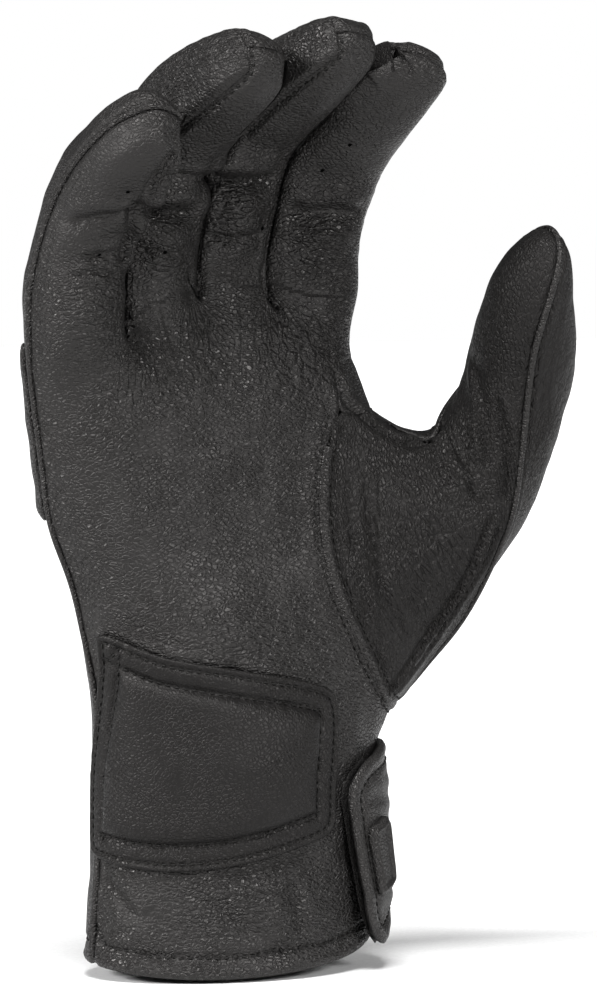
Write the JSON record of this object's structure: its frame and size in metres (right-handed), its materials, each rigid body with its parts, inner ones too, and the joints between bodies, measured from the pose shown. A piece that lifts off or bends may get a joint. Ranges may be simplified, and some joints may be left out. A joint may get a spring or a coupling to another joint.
{
  "type": "motorcycle glove",
  "caption": "Right-hand leather riding glove with curled fingers, padded heel patch, hollow for the hand and a wrapped wrist strap.",
  "frame": {"origin": "centre of the cuff's opening, at the hem, where the hand goes in", "axes": "+Z from the cuff to the fingertips, -Y the way the palm faces, +X to the thumb's side"},
  "size_m": [0.1526, 0.0836, 0.2534],
  "materials": {
    "leather": "black, soft sheen, pebbled grain",
    "loop_tape": "black, matt, looped pile"
  },
  "bodies": {
    "root": {"palm_panel": "leather", "back_panel": "leather", "gusset_pinky_ring": "leather", "gusset_ring_middle": "leather", "gusset_middle_index": "leather", "thumb_front_panel": "leather", "thumb_back_panel": "leather", "heel_patch": "leather", "heel_cushion": "leather", "edge_guard": "leather", "wrist_strap": "leather", "strap_badge": "leather", "pinky_welt": "leather", "thumb_welt": "leather", "loop_patch": "loop_tape"}
  },
  "joints": []
}
